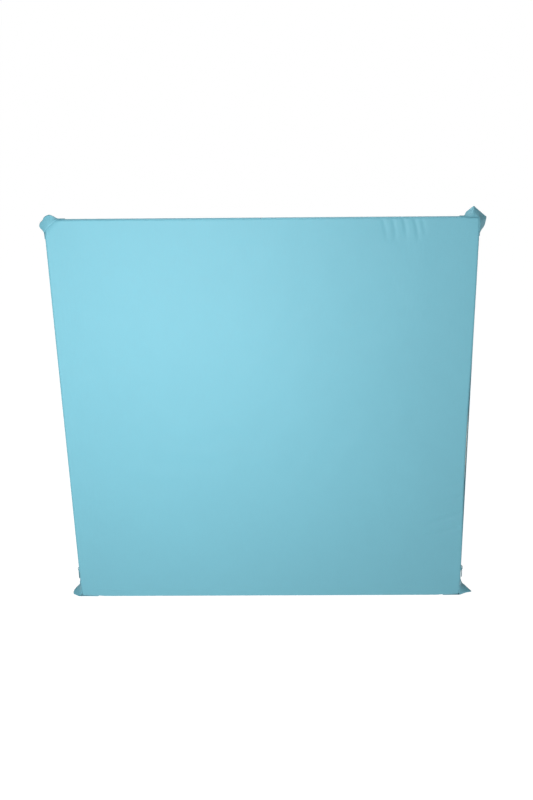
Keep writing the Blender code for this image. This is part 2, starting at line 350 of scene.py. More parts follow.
def panel_points(columns, rows, box, face_y, square_low_x, seed):
    """A face panel's grid: flat inside, rolled back at its edges to the seams.

    box is (low x, high x, low z, high z) of the flat part. A corner is round, or a plain
    sewn corner on the low side if square_low_x.
    """
    u, v = np.meshgrid(columns, rows, indexing="ij")
    inner_u, inner_v = np.clip(u, box[0], box[1]), np.clip(v, box[2], box[3])
    a, b = u - inner_u, v - inner_v
    past = np.maximum(np.abs(a), np.abs(b))
    out, back, angle = roll(past)
    flat_points = np.stack([u, v, np.full_like(u, face_y)], axis=-1)
    distance = ROLL_LENGTH - past
    dip = seam_dip(distance, flat_points, seed)
    wave = edge_wave(flat_points, seed) * smoothstep(past / ROLL_LENGTH)
    out = out - dip * np.sin(angle) - wave
    back = back + dip * np.cos(angle)
    reach = np.hypot(a, b)
    reach[reach == 0] = 1
    x = inner_u + a / reach * out
    z = inner_v + b / reach * out
    if square_low_x:
        corner = a < 0
        out_a = roll(np.abs(a))[0] - dip * np.sin(angle)
        out_b = roll(np.abs(b))[0] - dip * np.sin(angle) * (np.abs(b) > 0)
        x = np.where(corner, inner_u + np.sign(a) * out_a, x)
        z = np.where(corner, inner_v + np.sign(b) * out_b, z)
    y = face_y + np.sign(-face_y) * back
    return np.stack([x, y, z], axis=-1), np.stack([u, v], axis=-1)


# ---------------------------------------------------------------- slack cloth, simulated

SIM_CELL = 0.0125
SIM_FRAMES = 20
SLACK = 0.004  # share by which the cloth is longer than the foam it covers
RELIEF_LIMIT = 0.0012  # how far a point of the cover may move off the foam
SIM_SKIP_FLOOR = 1e-9


def simulate_slack(name, width, height, seed):
    """Relief of a slightly slack cloth sewn down all round, as metres off its plane.

    A flat grid is pinned along its seams and let out by the slack, and Blender's Cloth
    finds how it buckles. The result is scaled to stay within the limit.
    """
    across, up = round(width / SIM_CELL), round(height / SIM_CELL)
    u, v = np.meshgrid(
        np.linspace(0, width, across + 1), np.linspace(0, height, up + 1), indexing="ij"
    )
    rng = np.random.default_rng(seed)
    start = np.stack([u, rng.normal(0, 0.0002, u.shape), v], axis=-1)
    faces = grid_faces(*u.shape).tolist()
    cloth = add_mesh(name, start, faces, bpy.data.materials.new("slack"))
    edge = np.ones(u.shape, bool)
    edge[1:-1, 1:-1] = False
    sewn = cloth.vertex_groups.new(name="sewn")
    sewn.add(np.flatnonzero(edge).tolist(), 1.0, "REPLACE")
    modifier = cloth.modifiers.new("slack", "CLOTH")
    settings = modifier.settings
    settings.vertex_group_mass = "sewn"
    settings.shrink_min = -SLACK
    settings.quality = 6
    settings.tension_stiffness = 12
    settings.compression_stiffness = 12
    settings.shear_stiffness = 6
    settings.bending_stiffness = 1.5
    settings.effector_weights.gravity = 0
    modifier.point_cache.frame_start = 1
    modifier.point_cache.frame_end = SIM_FRAMES
    scene = bpy.context.scene
    for step in range(1, SIM_FRAMES + 1):
        scene.frame_set(step)
    result = cloth.evaluated_get(bpy.context.evaluated_depsgraph_get())
    relief = np.array([vertex.co.y for vertex in result.data.vertices]).reshape(u.shape)
    scene.frame_set(1)
    bpy.data.objects.remove(cloth, do_unlink=True)
    return relief * RELIEF_LIMIT / max(float(np.abs(relief).max()), SIM_SKIP_FLOOR)


def sample_relief(relief, share_u, share_v):
    """The relief between its grid points, by a smooth cubic B-spline."""
    rows, columns = relief.shape
    at_u, at_v = share_u * (rows - 1), share_v * (columns - 1)
    cell_u = np.clip(np.floor(at_u).astype(int), 0, rows - 2)
    cell_v = np.clip(np.floor(at_v).astype(int), 0, columns - 2)

    def weights(t):
        return [
            (1 - t) ** 3 / 6,
            (3 * t**3 - 6 * t**2 + 4) / 6,
            (-3 * t**3 + 3 * t**2 + 3 * t + 1) / 6,
            t**3 / 6,
        ]

    weights_u, weights_v = weights(at_u - cell_u), weights(at_v - cell_v)
    total = np.zeros_like(share_u)
    for i in range(4):
        row = np.clip(cell_u + i - 1, 0, rows - 1)
        for j in range(4):
            column = np.clip(cell_v + j - 1, 0, columns - 1)
            total += weights_u[i] * weights_v[j] * relief[row, column]
    return total


def slack_relief(name, width, columns, rows, uvs, seed):
    """How far in its slack lets a panel lie, at each point of the panel's grid."""
    share_u = (uvs[..., 0] - columns[0]) / (columns[-1] - columns[0])
    share_v = (uvs[..., 1] - rows[0]) / (rows[-1] - rows[0])
    relief = simulate_slack(name, width, HEIGHT, seed)
    return sample_relief(np.abs(relief), share_u, share_v)


# ---------------------------------------------------------------- materials


def fill_ramp(node, stops):
    """Sets a ramp's (position, colour) stops."""
    elements = node.color_ramp.elements
    while len(elements) < len(stops):
        elements.new(0.5)
    for element, (position, colour) in zip(elements, stops):
        element.position = position
        element.color = (*colour, 1.0)


class Nodes:
    """Short calls for building a shader tree."""

    def __init__(self, name):
        self.material = bpy.data.materials.new(name)
        self.material.use_nodes = True
        self.tree = self.material.node_tree
        self.shader = self.tree.nodes["Principled BSDF"]

    def add(self, kind, **values):
        node = self.tree.nodes.new(kind)
        for key, value in values.items():
            setattr(node, key, value)
        return node

    def link(self, output, target):
        self.tree.links.new(output, target)

    def set(self, **values):
        for key, value in values.items():
            self.shader.inputs[key.replace("_", " ")].default_value = value

    def math(self, operation, first, second=0.0):
        node = self.add("ShaderNodeMath", operation=operation)
        for socket, value in zip(node.inputs, (first, second)):
            if isinstance(value, (int, float)):
                socket.default_value = value
            else:
                self.link(value, socket)
        return node.outputs[0]

    def scaled(self, vector, scale):
        mapping = self.add("ShaderNodeMapping")
        self.link(vector, mapping.inputs["Vector"])
        mapping.inputs["Scale"].default_value = scale
        return mapping.outputs["Vector"]

    def place(self, scale):
        """Cloth UVs in metres, scaled."""
        return self.scaled(self.add("ShaderNodeUVMap", uv_map="cloth").outputs["UV"], scale)

    def object_place(self, scale):
        return self.scaled(self.add("ShaderNodeTexCoord").outputs["Object"], scale)

    def noise(self, place, detail=3.0, roughness=0.5):
        node = self.add("ShaderNodeTexNoise")
        node.inputs["Scale"].default_value = 1.0
        node.inputs["Detail"].default_value = detail
        node.inputs["Roughness"].default_value = roughness
        self.link(place, node.inputs["Vector"])
        return node.outputs["Fac"]

    def ramp(self, value, stops):
        node = self.add("ShaderNodeValToRGB")
        fill_ramp(node, stops)
        self.link(value, node.inputs["Fac"])
        return node.outputs["Color"]

    def range(self, value, low, high):
        """value from 0 to 1, moved to the range low to high."""
        node = self.add("ShaderNodeMapRange")
        node.inputs["To Min"].default_value = low
        node.inputs["To Max"].default_value = high
        self.link(value, node.inputs["Value"])
        return node.outputs["Result"]

    def finish(self, colour, rough, height, distance, strength):
        """Joins colour, roughness and bump to the shader, and gives the material."""
        self.link(colour, self.shader.inputs["Base Color"])
        self.link(rough, self.shader.inputs["Roughness"])
        node = self.add("ShaderNodeBump")
        node.inputs["Distance"].default_value = distance
        node.inputs["Strength"].default_value = strength
        self.link(height, node.inputs["Height"])
        self.link(node.outputs["Normal"], self.shader.inputs["Normal"])
        return self.material


def shade(colour, factor):
    return tuple(min(1.0, channel * factor) for channel in colour)


def weave_height(nodes, pitch, ribs):
    """Height of a plain weave, or of a ribbed one when ribs is more than 1."""
    place = nodes.place((2 * math.pi / pitch, 2 * math.pi / (pitch * ribs), 1))
    parts = nodes.add("ShaderNodeSeparateXYZ")
    nodes.link(place, parts.inputs[0])
    warp = nodes.math("SINE", parts.outputs["X"])
    weft = nodes.math("SINE", parts.outputs["Y"])
    crossed = nodes.math("MULTIPLY", warp, weft)
    return nodes.math("MULTIPLY_ADD", crossed, 0.5)


def cloth_material(name, colour, pitch=0.0009, ribs=1.0, sheen=0.12, roughness=0.66):
    """Woven polyester: threads, uneven dye, slubs along the warp, and a soft sheen."""
    nodes = Nodes(name)
    height = weave_height(nodes, pitch, ribs)
    slubs = nodes.noise(nodes.place((260, 45, 1)), 4.0, 0.6)
    cloud = nodes.noise(nodes.place((3.2, 2.6, 1)), 3.0, 0.55)
    wear = nodes.noise(nodes.place((21, 17, 1)), 4.0, 0.6)
    tone = nodes.math("MULTIPLY_ADD", height, 0.10)
    tone.node.inputs[2].default_value = 0.24
    tone = nodes.math("ADD", tone, nodes.range(slubs, -0.10, 0.22))
    tone = nodes.math("ADD", tone, nodes.range(cloud, -0.05, 0.17))
    tone = nodes.math("ADD", tone, nodes.range(wear, -0.04, 0.10))
    stops = [(0.0, shade(colour, 0.86)), (0.5, colour), (1.0, shade(colour, 1.14))]
    rough = nodes.range(slubs, roughness - 0.08, roughness + 0.08)
    nodes.set(Sheen_Weight=sheen, Sheen_Roughness=0.45, Specular_IOR_Level=0.6)
    nodes.shader.inputs["Sheen Tint"].default_value = (0.82, 0.95, 1.0, 1.0)
    relief = nodes.math("ADD", height, nodes.math("MULTIPLY", slubs, 0.8))
    return nodes.finish(nodes.ramp(tone, stops), rough, relief, 0.00012, 0.45)


def foam_material(name, colour):
    """Open-cell foam: pores, and a slight yellowing in patches."""
    nodes = Nodes(name)
    place = nodes.object_place((1, 1, 1))
    pores = nodes.add("ShaderNodeTexVoronoi", feature="F1")
    pores.inputs["Scale"].default_value = 700
    nodes.link(place, pores.inputs["Vector"])
    patches = nodes.noise(nodes.object_place((6, 6, 6)), 3.0)
    stops = [(0.25, shade(colour, 0.84)), (0.6, colour), (1.0, shade(colour, 1.08))]
    depth = nodes.math("MULTIPLY", pores.outputs["Distance"], 0.8)
    tone = nodes.math("ADD", depth, nodes.math("MULTIPLY", patches, 0.5))
    rough = nodes.range(patches, 0.86, 1.0)
    pits = pores.outputs["Distance"]
    return nodes.finish(nodes.ramp(tone, stops), rough, pits, 0.0008, 0.8)


def plastic_material(name, colour, scale, roughness):
    """Dyed nylon with a slightly uneven gloss, for the coils and the thread."""
    nodes = Nodes(name)
    grain = nodes.noise(nodes.object_place((scale, scale, scale)), 3.0)
    stops = [(0.3, shade(colour, 0.85)), (0.7, shade(colour, 1.12))]
    rough = nodes.range(grain, roughness - 0.1, roughness + 0.1)
    nodes.set(Specular_IOR_Level=0.5, Sheen_Weight=0.1)
    return nodes.finish(nodes.ramp(grain, stops), rough, grain, 0.00004, 0.4)


def metal_material(name, colour):
    """Zinc tinted to match the cover: fine brushing along it, rubbed and dulled in spots."""
    nodes = Nodes(name)
    brushed = nodes.noise(nodes.object_place((2600, 2600, 240)), 4.0, 0.6)
    spots = nodes.noise(nodes.object_place((420, 420, 420)), 3.0)
    stops = [(0.3, shade(colour, 0.78)), (0.75, shade(colour, 1.12))]
    tone = nodes.math("MULTIPLY", nodes.math("ADD", brushed, spots), 0.5)
    nodes.set(Metallic=1.0)
    rough = nodes.range(tone, 0.18, 0.46)
    return nodes.finish(nodes.ramp(tone, stops), rough, brushed, 0.00003, 0.5)


COVER_COLOUR = (0.084, 0.268, 0.332)
# The straps are the same cloth as the cover. Their colour is a little darker than the cover's, which is
# painted shade for their shadowed folds.
STRAP_COLOUR = (0.079, 0.252, 0.312)


def make_materials():
    return {
        "cover": cloth_material("cover_cloth", COVER_COLOUR),
        "strap": cloth_material("strap_cloth", STRAP_COLOUR, pitch=0.0011, ribs=2.0),
        "tape": cloth_material(
            "zip_tape", shade(STRAP_COLOUR, 0.9), pitch=0.0007, ribs=1.6, sheen=0.2
        ),
        "thread": plastic_material("thread", shade(COVER_COLOUR, 1.25), 2400, 0.6),
        "coil": plastic_material("zip_coil", shade(STRAP_COLOUR, 0.85), 900, 0.38),
        "metal": metal_material("zip_metal", shade(COVER_COLOUR, 1.15)),
        "foam": foam_material("foam", (0.80, 0.78, 0.68)),
    }


# ---------------------------------------------------------------- cover cloth


CREASE_RISE = 0.006  # a crease runs out this close to the seam
CREASE_FADE = 1.6  # how late along its length a crease starts to fade


def crease_depth(points, creases):
    """How deep creases press in: (start, end, depth, half width, bend at the start) each."""
    x, z = points[..., 0], points[..., 2]
    pressed = np.zeros_like(x)
    for start, end, depth, half_width, bend in creases:
        start, end = np.array(start), np.array(end)
        along = (end - start) / np.linalg.norm(end - start)
        length = np.linalg.norm(end - start)
        t = ((x - start[0]) * along[0] + (z - start[1]) * along[1]) / length
        off = (x - start[0]) * -along[1] + (z - start[1]) * along[0]
        off = off + bend * np.clip(1 - t, 0, 1) ** 2
        fade = smoothstep(t * length / CREASE_RISE) * smoothstep((1 - t) * CREASE_FADE)
        pressed += depth * fade * np.exp(-((off / half_width) ** 2))
    return pressed


# Short creases hang from the top seam near the right corner, and slack pulls down and in
# from the right edge
PRESS_LIMIT = 0.0021  # the deepest the outside of the cover goes, just short of the foam
TOP_CREASES = [  # place along the top and depth
    (0.286, 0.0010), (0.309, 0.0014), (0.334, 0.0017), (0.359, 0.0016), (0.376, 0.0007),
]
TOP_CREASE_LENGTH = 0.062
TOP_CREASE_HALF_WIDTH = 0.0046
TOP_CREASE_BEND = 0.010
SIDE_CREASES = [
    ((0.498, 0.246), (0.388, 0.203), 0.0026, 0.0050, -0.002),
    ((0.494, 0.205), (0.380, 0.172), 0.0024, 0.0050, -0.002),
    ((0.498, 0.292), (0.412, 0.268), 0.0011, 0.0060, 0.0),
    ((0.498, 0.330), (0.430, 0.314), 0.0009, 0.0060, 0.0),
]


def front_creases():
    creases = list(SIDE_CREASES)
    for number, (x, depth) in enumerate(TOP_CREASES):
        length = TOP_CREASE_LENGTH * (1 + 0.2 * math.sin(3 * number))
        end = (x + 0.002 * math.cos(2 * number), HEIGHT - length)
        creases.append(((x, HEIGHT), end, depth, TOP_CREASE_HALF_WIDTH, TOP_CREASE_BEND))
    return creases


CREASED_X = (0.262, 0.386)
CREASED_Z = (0.168, 0.340)


def finer(lines, low, high):
    """Grid lines with a finer stretch of them from low to high."""
    clear = (lines < low - EDGE_CELL / 2) | (lines > high)
    return np.sort(np.concatenate([lines[clear], np.arange(low, high, EDGE_CELL)]))


def build_front(material):
    """One cloth over both halves. It is the hinge, so it stays flat across the fold."""
    columns, low_x, high_x = cloth_lines(-HALF_WIDTH, HALF_WIDTH)
    columns = finer(columns, *CREASED_X)
    fold_lines = np.linspace(-SLIT, SLIT, 9)
    clear = np.abs(columns) > SLIT + EDGE_CELL / 2
    columns = np.sort(np.concatenate([columns[clear], fold_lines]))
    rows, low_z, high_z = cloth_lines(0, HEIGHT)
    rows = finer(rows, *CREASED_Z)
    box = (low_x, high_x, low_z, high_z)
    points, uvs = panel_points(columns, rows, box, FRONT, False, 1)
    inward = slack_relief("front_slack", 2 * HALF_WIDTH, columns, rows, uvs, SEED)
    inward = inward + crease_depth(points, front_creases())
    points[..., 1] += PRESS_LIMIT * np.tanh(inward / PRESS_LIMIT)
    points = settle(points)
    cloth = add_cloth("front_cloth", points, uvs, material, (0, 0, HEIGHT / 2))
    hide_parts("left_face_panel", "right_face_panel")
    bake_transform(cloth)


def finish_cloth(cloth, side_name, node):
    """Rides and what it stands for, for one sheet of the cover."""
    claim(cloth, f"{side_name}_half", f"{side_name}_{node}")


def build_back(side_name, material):
    side = SIDES[side_name]
    columns, low_x, high_x = cloth_lines(SLIT, HALF_WIDTH)
    rows, low_z, high_z = cloth_lines(0, HEIGHT)
    box = (low_x, high_x, low_z, high_z)
    points, uvs = panel_points(columns, rows, box, BACK, True, 2 + side)
    seed = SEED + 2 + side
    points[..., 1] -= slack_relief(f"{side_name}_slack", HALF_WIDTH, columns, rows, uvs, seed)
    points = settle(mirrored(points, side))
    middle = (side * HALF_WIDTH / 2, 0, HEIGHT / 2)
    cloth = add_cloth(f"{side_name}_back_cloth", points, uvs, material, middle)
    finish_cloth(cloth, side_name, "back_panel")


def band_section():
    """Across an edge band, front seam to back seam: inset, depth y and cloth length."""
    angles = np.linspace(SEAM_ANGLE, math.pi / 2, 6)
    inset = EDGE_RADIUS * (1 - np.sin(angles))
    y = FRONT + EDGE_RADIUS * (1 - np.cos(angles))
    length = EDGE_RADIUS * (angles - SEAM_ANGLE)
    flat_width = BACK - FRONT - 2 * EDGE_RADIUS
    share = np.linspace(0, 1, 13)[1:-1]
    middle_y = y[-1] + flat_width * share
    middle_length = length[-1] + flat_width * share
    whole = 2 * length[-1] + flat_width
    return (
        np.concatenate([inset, np.zeros(len(share)), inset[::-1]]),
        np.concatenate([y, middle_y, -y[::-1]]),
        np.concatenate([length, middle_length, whole - length[::-1]]),
    )


def band_offset(inset, y, length, points, seed):
    """Inset of a band's cloth with its crown, seams, puckers and waviness."""
    whole = length.max()
    crown = BAND_CROWN * np.sin(math.pi * length / whole)
    near_seam = np.minimum(length, whole - length)
    return inset - crown + seam_dip(near_seam, points, seed) + 0.5 * edge_wave(points, seed)


def build_end_band(side_name, place, material):
    """The cloth along the top or the bottom, round the outer corner to the zip band."""
    side = SIDES[side_name]
    inset, y, length = band_section()
    straight = HALF_WIDTH - CORNER_RADIUS - SLIT
    run = np.linspace(0, 1, round(straight / BAND_CELL) + 1)
    turn = np.linspace(0, math.pi / 2, 13)[1:]
    rise = ZIP_SEAM - CORNER_RADIUS
    down = np.linspace(0, rise, round(rise / BAND_CELL) + 1)[1:]
    inner_end = SLIT + np.where(y > 0, edge_inset(y), 0)
    rows = []
    normals = []
    for share in run:
        x = inner_end + (HALF_WIDTH - CORNER_RADIUS - inner_end) * share
        rows.append(np.stack([x, y, np.zeros_like(x)], axis=-1))
        normals.append((0, 1))
    for angle in turn:
        normal = (math.sin(angle), math.cos(angle))
        x = HALF_WIDTH - CORNER_RADIUS + CORNER_RADIUS * normal[0]
        drop = CORNER_RADIUS - CORNER_RADIUS * normal[1]
        rows.append(np.stack([np.full_like(y, x), y, np.full_like(y, -drop)], axis=-1))
        normals.append(normal)
    for step in down:
        drop = CORNER_RADIUS + step
        rows.append(np.stack([np.full_like(y, HALF_WIDTH), y, np.full_like(y, -drop)], axis=-1))
        normals.append((1, 0))
    points = np.array(rows)
    normals = np.array(normals)
    along = np.concatenate([run * straight, straight + CORNER_RADIUS * turn])
    along = np.concatenate([along, along[-1] + down])
    inset = np.broadcast_to(inset, points.shape[:2])
    depth = np.broadcast_to(y, points.shape[:2])
    lengths = np.broadcast_to(length, points.shape[:2])
    in_by = band_offset(inset, depth, lengths, points, 3 + side)
    points[..., 0] -= normals[:, None, 0] * in_by
    points[..., 2] -= normals[:, None, 1] * in_by
    points[..., 2] = HEIGHT + points[..., 2] if place == "top" else -points[..., 2]
    points = settle(mirrored(points, side))
    uvs = np.stack(np.meshgrid(along, length, indexing="ij"), axis=-1)
    middle = (side * HALF_WIDTH / 2, 0, HEIGHT / 2)
    cloth = add_cloth(f"{side_name}_{place}_cloth", points, uvs, material, middle)
    finish_cloth(cloth, side_name, f"{place}_band")


HEM = 0.0020  # how wide the finer rows of points beside the mouth are
HEM_STITCH = 0.0022  # from the zip's mouth to its line of stitches
HEM_GROOVE = 0.00025  # how deep the stitches pull the hem in
HEM_GROOVE_WIDTH = 0.0009


def build_zip_strip(side_name, place, material):
    """Cloth from a long seam to the zip's mouth, where it is folded under and stitched."""
    side = SIDES[side_name]
    inset, y, length = band_section()
    mouth_start = -MOUTH - HEM
    keep = y < mouth_start
    hem_y = np.linspace(mouth_start, -MOUTH, 6)
    hem_inset = 0.0001 + 0.0003 * np.linspace(0, 1, 6) ** 3
    whole = length[keep][-1] + hem_y - y[keep][-1]
    inset = np.concatenate([inset[keep], hem_inset])
    length = np.concatenate([length[keep], whole])
    y = np.concatenate([y[keep], hem_y])
    up = np.linspace(STRIP_LOW.z, STRIP_HIGH.z, round((STRIP_HIGH.z - STRIP_LOW.z) / BAND_CELL) + 1)
    z, depth = np.meshgrid(up, y, indexing="ij")
    lengths = np.broadcast_to(length, z.shape)
    points = np.stack([np.full_like(z, HALF_WIDTH), depth, z], axis=-1)
    in_by = inset + seam_dip(lengths, points, 5 + side) + 0.4 * edge_wave(points, 5 + side)
    stitched = np.exp(-(((lengths - length[-1] + HEM_STITCH) / HEM_GROOVE_WIDTH) ** 2))
    in_by = in_by + HEM_GROOVE * stitched
    points[..., 0] -= in_by
    if place == "back":
        points[..., 1] *= -1
    points = settle(mirrored(points, side))
    uvs = np.stack([z, lengths], axis=-1)
    middle = (side * HALF_WIDTH / 2, 0, HEIGHT / 2)
    name = f"{side_name}_side_cloth_{place}"
    cloth = add_cloth(name, points, uvs, material, middle)
    finish_cloth(cloth, side_name, f"zip_band_{place}")


WALL_TUCK = 0.0009  # how far the fold wall's ends tuck in under the end bands


def build_fold_wall(side_name, material):
    """The cloth inside the fold, facing the other half."""
    side = SIDES[side_name]
    inset, y, length = band_section()
    first = FRONT + SKIN + 0.0003
    keep = y > first + 0.0004
    y = np.concatenate([[first], y[keep]])
    length = np.concatenate([[length[keep][0] - 0.001], length[keep]])
    across = SLIT + np.where(y > 0, edge_inset(y), 0)
    cut = edge_inset(y) + WALL_TUCK
    share = np.linspace(0, 1, round(HEIGHT / BAND_CELL) + 1)
    z = cut + (HEIGHT - 2 * cut) * share[:, None]
    points = np.stack([np.broadcast_to(across, z.shape), np.broadcast_to(y, z.shape), z], -1).copy()
    near_seam = np.broadcast_to(np.abs(length - length.max()), z.shape)
    points[..., 0] += seam_dip(near_seam, points, 8 + side)
    points = settle(mirrored(points, side))
    uvs = np.stack([z, np.broadcast_to(length, z.shape)], axis=-1)
    middle = (side * HALF_WIDTH / 2, 0, HEIGHT / 2)
    cloth = add_cloth(f"{side_name}_fold_cloth", points, uvs, material, middle)
    finish_cloth(cloth, side_name, "fold_wall")


FOAM_GAP = 0.0022  # from the outside of the cover to the foam


def build_foam(side_name, material):
    """The foam block of one half, with softened edges, closed all round."""
    side = SIDES[side_name]
    low = SLIT + FOAM_GAP
    high = HALF_WIDTH - FOAM_GAP
    radius = CORNER_RADIUS - FOAM_GAP
    sections = []
    edge = EDGE_RADIUS - FOAM_GAP / 2
    for angle in np.linspace(0, math.pi / 2, 6):
        sections.append((edge * (1 - math.sin(angle)), FRONT + FOAM_GAP + edge * (1 - math.cos(angle))))
    sections += [(inset, -y) for inset, y in sections[::-1]]
    rings = []
    for inset, y in sections:
        ring = []
        for x, top in ((low + inset, 0), (low + inset, 1)):
            ring.append((x, y, FOAM_GAP + inset if not top else HEIGHT - FOAM_GAP - inset))
        for top in (1, 0):
            centre_z = HEIGHT - FOAM_GAP - radius if top else FOAM_GAP + radius
            for step in range(9):
                angle = math.pi / 2 * step / 8
                out, up = math.sin(angle), math.cos(angle)
                if not top:
                    out, up = up, -out
                ring.append(
                    (
                        high - radius + (radius - inset) * out,
                        y,
                        centre_z + (radius - inset) * up,
                    )
                )
        rings.append(ring)
    points = settle(mirrored(np.array(rings), side))
    name = f"{side_name}_foam"
    foam = add_mesh(name, points, ring_faces(points), material, smooth=False)
    claim(foam, f"{side_name}_half", f"{side_name}_foam_core")


# ---------------------------------------------------------------- strap loops


SPLINE_STEPS = 8
RIBBON_COLUMNS = 9
RIBBON_ROWS = 61
RIBBON_CAMBER = 0.0006
TAB_END = 0.045  # from a corner to the cut end of a strap
ON_COVER = 0.0005  # from the cover to the middle of a strap that lies on it
ON_FLOOR = STRAP_THICKNESS / 2
HALF_STRAP = 0.0125
FOLD_CLEARANCE = 0.00025  # how far a strap may stand in front of the face

# Each loop by its two long edges, front then back. A point is (out past the side, y, up
# past the end). The free part leans back from the cover and flares out behind.
LOOPS = {
    ("left", "top"): (
        [
            (-TAB_END, -HALF_STRAP, ON_COVER), (-0.0330, -0.0127, 0.0006),
            (-0.0270, -0.0142, -0.0015), (-0.0200, -0.0148, -0.0065),
            (-0.0120, -0.0148, -0.0130), (-0.0045, -0.0145, -0.0200), (0.0003, -0.0132, -0.0290),
            (ON_COVER, -HALF_STRAP, -TAB_END),
        ],
        [
            (-TAB_END, HALF_STRAP, ON_COVER), (-0.0345, 0.0125, 0.0005),
            (-0.0280, 0.0070, 0.0012), (-0.0215, -0.0010, 0.0066), (-0.0125, -0.0080, 0.0116),
            (-0.0015, -0.0095, 0.0078), (0.0040, -0.0095, 0.0000), (0.0105, -0.0070, -0.0075),
            (0.0126, -0.0030, -0.0175), (0.0095, 0.0040, -0.0240), (0.0020, 0.0120, -0.0300),
            (ON_COVER, HALF_STRAP, -TAB_END),
        ],
    ),
    ("right", "top"): (
        [
            (-TAB_END, -HALF_STRAP, ON_COVER), (-0.0330, -0.0130, 0.0003),
            (-0.0180, -0.0138, 0.0000), (-0.0050, -0.0140, -0.0003), (-0.0018, -0.0140, -0.0050),
            (-0.0016, -0.0140, -0.0180), (-0.0008, -0.0132, -0.0330),
            (ON_COVER, -HALF_STRAP, -TAB_END),
        ],
        [
            (-TAB_END, HALF_STRAP, ON_COVER), (-0.0330, HALF_STRAP, 0.0010),
            (-0.0300, 0.0115, 0.0085), (-0.0225, 0.0108, 0.0150), (-0.0128, 0.0100, 0.0228),
            (-0.0098, 0.0100, 0.0205), (0.0025, 0.0105, 0.0102), (0.0155, 0.0110, -0.0005),
            (0.0176, 0.0112, -0.0028), (0.0164, 0.0120, -0.0135), (0.0138, HALF_STRAP, -0.0255),
            (0.0070, HALF_STRAP, -0.0355), (ON_COVER, HALF_STRAP, -TAB_END),
        ],
    ),
    ("left", "bottom"): (
        [
            (ON_COVER, -HALF_STRAP, TAB_END), (0.0002, -0.0132, 0.0340),
            (-0.0018, -0.0140, 0.0200), (-0.0022, -0.0141, 0.0110), (0.0010, -0.0144, 0.0052),
            (0.0068, -0.0146, 0.0020), (0.0040, -0.0145, ON_FLOOR), (-0.0150, -0.0136, ON_FLOOR),
            (-TAB_END, -HALF_STRAP, ON_FLOOR),
        ],
        [
            (ON_COVER, HALF_STRAP, TAB_END), (0.0020, HALF_STRAP, 0.0350),
            (0.0065, 0.0120, 0.0250), (0.0155, 0.0100, 0.0160), (0.0225, 0.0055, 0.0085),
            (0.0240, 0.0010, 0.0028), (0.0200, -0.0030, ON_FLOOR), (0.0080, 0.0040, ON_FLOOR),
            (-0.0120, 0.0110, ON_FLOOR), (-TAB_END, HALF_STRAP, ON_FLOOR),
        ],
    ),
    ("right", "bottom"): (
        [
            (ON_COVER, -HALF_STRAP, TAB_END), (0.0002, -0.0132, 0.0340),
            (-0.0018, -0.0140, 0.0200), (-0.0022, -0.0141, 0.0100), (0.0005, -0.0144, 0.0025),
            (-0.0015, -0.0143, ON_FLOOR), (-0.0180, -0.0136, ON_FLOOR),
            (-TAB_END, -HALF_STRAP, ON_FLOOR),
        ],
        [
            (ON_COVER, HALF_STRAP, TAB_END), (0.0025, HALF_STRAP, 0.0350),
            (0.0080, 0.0122, 0.0225), (0.0150, 0.0108, 0.0165), (0.0205, 0.0075, 0.0120),
            (0.0280, 0.0038, 0.0062), (0.0325, 0.0010, 0.0022), (0.0230, 0.0050, ON_FLOOR),
            (0.0000, 0.0115, ON_FLOOR), (-TAB_END, HALF_STRAP, ON_FLOOR),
        ],
    ),
}


def smooth_curve(points):
    """Points along a Catmull-Rom curve through points, the same number in each stretch."""
    points = np.array(points)
    before = np.concatenate([2 * points[:1] - points[1:2], points[:-1]])
    after = np.concatenate([points[1:], 2 * points[-1:] - points[-2:-1]])
    made = []
    for i in range(len(points) - 1):
        p0, p1, p2, p3 = before[i], points[i], points[i + 1], after[i + 1]
        for t in np.arange(SPLINE_STEPS) / SPLINE_STEPS:
            made.append(
                0.5
                * (
                    2 * p1
                    + (p2 - p0) * t
                    + (2 * p0 - 5 * p1 + 4 * p2 - p3) * t**2
                    + (3 * p1 - p0 - 3 * p2 + p3) * t**3
                )
            )
    made.append(points[-1])
    return np.array(made)


def even_curve(points, count):
    """A smooth curve through points, as count points at even steps along it."""
    curve = smooth_curve(points)
    at = along_lengths(curve)
    steps = np.linspace(0, at[-1], count)
    return np.stack([np.interp(steps, at, curve[:, k]) for k in range(3)], axis=-1)


def kept_clear(points):
    """Points no further forward than the plane of the fold, and none below the floor."""
    clear = points.copy()
    clear[..., 1] = np.maximum(clear[..., 1], FRONT - FOLD_CLEARANCE)
    clear[..., 2] = np.maximum(clear[..., 2], 0)
    return clear


def ribbon_middle(front_edge, back_edge):
    """The middle surface of a strap between two long edges, and its normals."""
    share = np.linspace(0, 1, RIBBON_COLUMNS)[None, :, None]
    surface = front_edge[:, None] * (1 - share) + back_edge[:, None] * share
    along = np.gradient(surface, axis=0)
    across = np.gradient(surface, axis=1)
    normals = unit(np.cross(along, across))
    return surface, normals


def add_ribbon(name, surface, normals, material):
    """A closed strap of even thickness on a grid of points, with softened long edges."""
    half = np.full(RIBBON_COLUMNS, STRAP_THICKNESS / 2)
    half[[0, -1]] *= 0.55
    over = surface + normals * half[:, None]
    under = surface - normals * half[:, None]
    ring = kept_clear(np.concatenate([over, under[:, ::-1]], axis=1))
    across = np.linspace(0, 2 * HALF_STRAP, RIBBON_COLUMNS)
    across = np.concatenate([across, 2 * across[-1] - across[::-1]])
    length = along_lengths(surface[:, RIBBON_COLUMNS // 2])
    uvs = np.stack(np.meshgrid(length, across, indexing="ij"), axis=-1)
    return add_mesh(name, ring, ring_faces(ring), material, uvs)


